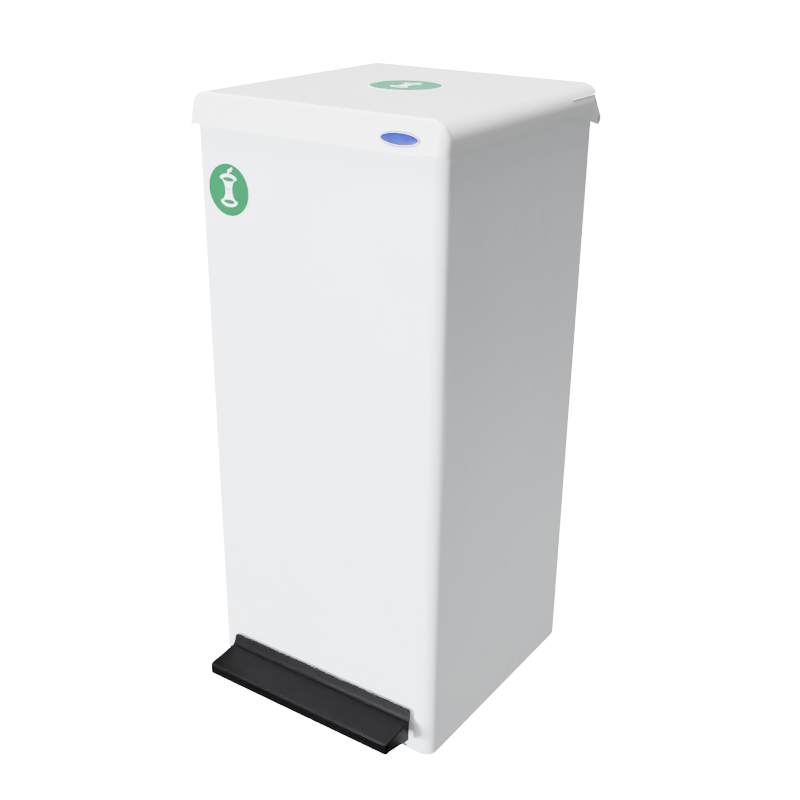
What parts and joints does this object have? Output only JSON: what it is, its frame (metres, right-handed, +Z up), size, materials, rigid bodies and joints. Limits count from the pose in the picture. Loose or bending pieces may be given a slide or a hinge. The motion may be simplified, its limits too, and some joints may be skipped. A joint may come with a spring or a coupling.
{
  "type": "step-on waste bin",
  "caption": "Tall square step-on waste bin of painted sheet steel with a hinged overhanging lid, a wide foot pedal, a lift rod linkage, an inner liner and round organics decals.",
  "frame": {"origin": "on the floor, at the middle of the bin's footprint, pedal and hinge ears included", "axes": "+Z up, front with the pedal towards -Y, +X to the right seen from the front"},
  "size_m": [0.376, 0.4444, 0.8487],
  "materials": {
    "white_paint": "smooth white powder coat, satin to semi-gloss",
    "black_pedal": "semi-gloss black coat",
    "zinc_steel": "bright zinc plate",
    "rubber": "matt black rubber",
    "liner_plastic": "matt grey moulded plastic",
    "nylon": "natural nylon",
    "green_decal": "printed green film with a white pictogram",
    "blue_badge": "domed blue enamel in a thin white border"
  },
  "bodies": {
    "bin": {"axle_bracket_left": "zinc_steel", "axle_bracket_right": "zinc_steel", "axle_clip_left": "zinc_steel", "axle_clip_right": "zinc_steel", "axle_washer_left": "nylon", "axle_washer_right": "nylon", "back_panel": "white_paint", "back_rivet_left_1": "zinc_steel", "back_rivet_left_2": "zinc_steel", "back_rivet_left_3": "zinc_steel", "back_rivet_right_1": "zinc_steel", "back_rivet_right_2": "zinc_steel", "back_rivet_right_3": "zinc_steel", "base_pan": "white_paint", "body_shell": "white_paint", "foot_back_left": "rubber", "foot_back_right": "rubber", "foot_front_left": "rubber", "foot_front_right": "rubber", "front_decal": "green_decal", "hinge_bracket_left": "white_paint", "hinge_bracket_right": "white_paint", "hinge_rod": "zinc_steel", "inner_liner": "liner_plastic", "lever_rest_pad": "rubber", "liner_shelf": "white_paint", "pedal_axle": "zinc_steel", "top_rim": "white_paint"},
    "lid": {"badge": "blue_badge", "hinge_arm_left": "white_paint", "hinge_arm_right": "white_paint", "lid_bumper_left": "rubber", "lid_bumper_right": "rubber", "lid_crank": "zinc_steel", "lid_decal": "green_decal", "lid_shell": "white_paint"},
    "pedal": {"pedal_arm_left": "black_pedal", "pedal_arm_right": "black_pedal", "pedal_lever": "black_pedal", "pedal_sleeve": "black_pedal", "pedal_tread": "black_pedal"},
    "rod": {"lift_rod": "zinc_steel", "rod_clip_high": "zinc_steel", "rod_clip_low": "zinc_steel"}
  },
  "joints": [
    {"name": "lid_hinge", "type": "hinge", "parent": "bin", "child": "lid", "pos_m": [0, 0.21475, 0.802], "axis": [-1, 0, 0], "range_deg": [0, 75]},
    {"name": "pedal_pivot", "type": "hinge", "parent": "bin", "child": "pedal", "pos_m": [0, -0.09975, 0.036], "axis": [1, 0, 0], "range_deg": [0, 15]},
    {"name": "lift_rod_pivot", "type": "hinge", "parent": "lid", "child": "rod", "pos_m": [0, 0.1691, 0.76697], "axis": [1, 0, 0], "range_deg": [0, 75]}
  ],
  "couplings": [
    {"joint": "pedal_pivot", "follows": "lid_hinge", "ratio": 0.2},
    {"joint": "lift_rod_pivot", "follows": "lid_hinge", "ratio": 1}
  ]
}
